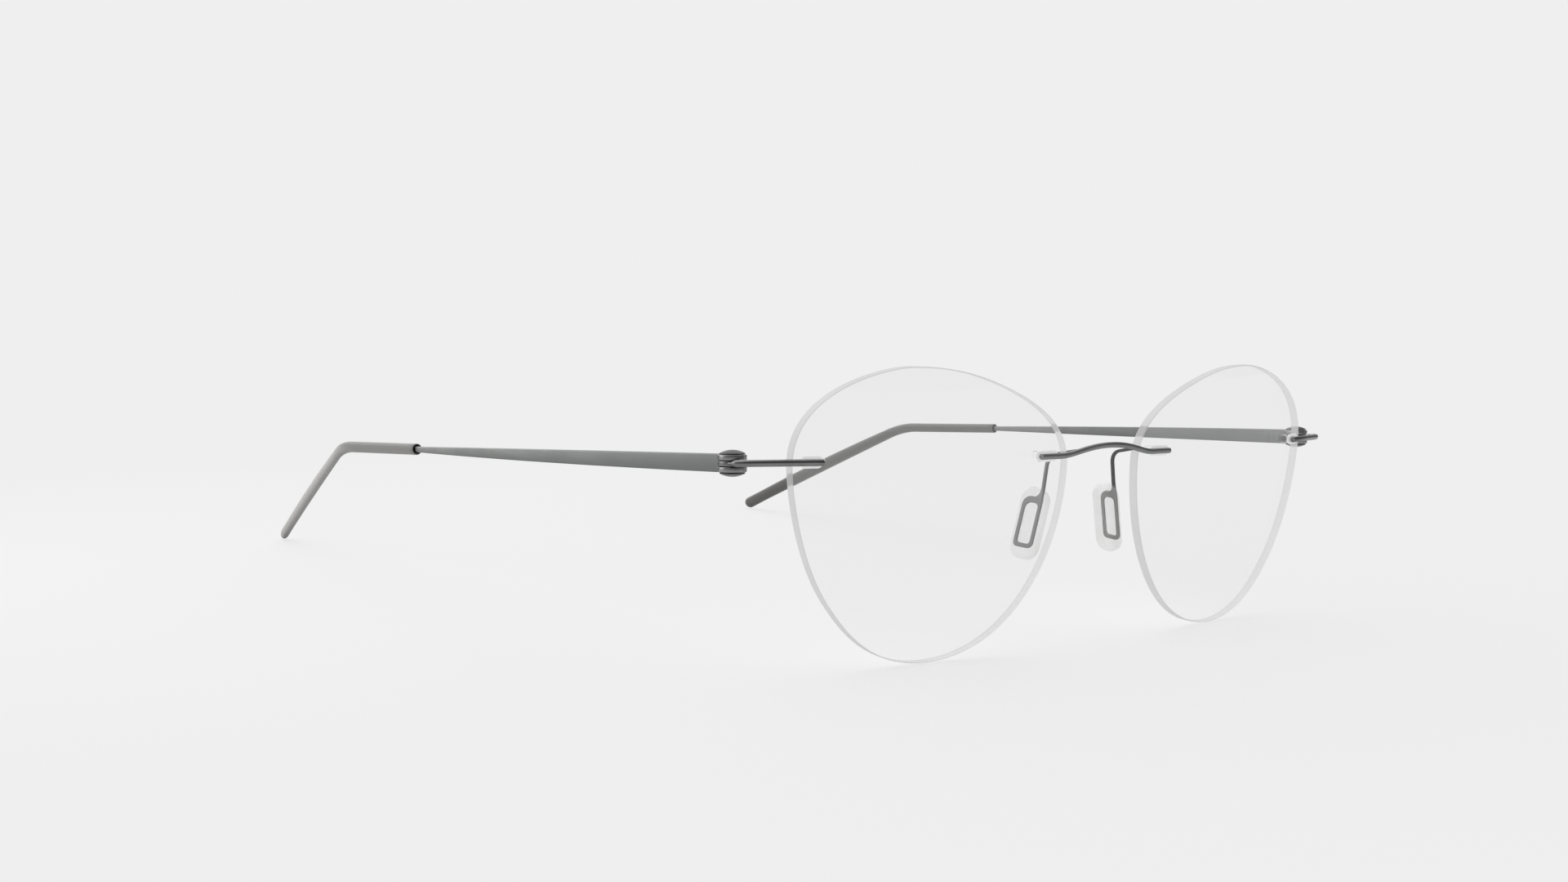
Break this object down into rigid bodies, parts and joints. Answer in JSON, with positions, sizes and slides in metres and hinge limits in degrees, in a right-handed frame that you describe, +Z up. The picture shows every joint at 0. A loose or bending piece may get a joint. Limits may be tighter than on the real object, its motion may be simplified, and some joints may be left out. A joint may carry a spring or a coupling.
{
  "type": "eyeglasses",
  "caption": "Rimless eyeglasses with clear drop-shaped lenses, an arched wire bridge, looped nose pads and thin temples that fold on domed barrel hinges.",
  "frame": {"origin": "middle of the bounding box at floor level, where the lens edges and the temple tips rest", "axes": "+X to the wearer's left, +Y from the lenses back along the open temples, +Z up"},
  "size_m": [0.1362, 0.1486, 0.0417],
  "materials": {
    "clear_lens": "polished clear lens, ground edge",
    "titanium": "satin grey titanium",
    "clear_silicone": "translucent silicone",
    "clear_plastic": "clear moulded plastic",
    "grey_tip": "satin grey plastic"
  },
  "bodies": {
    "front": {"lens_left": "clear_lens", "lens_right": "clear_lens", "bridge": "titanium", "pad_arm_left": "titanium", "pad_arm_right": "titanium", "nose_pad_left": "clear_silicone", "nose_pad_right": "clear_silicone", "lens_bushing_nasal_left": "clear_plastic", "lens_bushing_nasal_right": "clear_plastic", "lens_bushing_temporal_left": "clear_plastic", "lens_bushing_temporal_right": "clear_plastic", "end_piece_left": "titanium", "end_piece_right": "titanium", "hinge_pin_left": "titanium", "hinge_pin_right": "titanium", "hinge_cap_left": "titanium", "hinge_cap_right": "titanium"},
    "temple_left_arm": {"temple_left": "titanium", "temple_tip_left": "grey_tip"},
    "temple_right_arm": {"temple_right": "titanium", "temple_tip_right": "grey_tip"}
  },
  "joints": [
    {"name": "temple_left_fold", "type": "hinge", "parent": "front", "child": "temple_left_arm", "pos_m": [0.06406, -0.06272, 0.02863], "axis": [0, 0.0642, 0.9979], "range_deg": [0, 89]},
    {"name": "temple_right_fold", "type": "hinge", "parent": "front", "child": "temple_right_arm", "pos_m": [-0.06406, -0.06272, 0.02863], "axis": [0, -0.0642, -0.9979], "range_deg": [0, 82]}
  ]
}
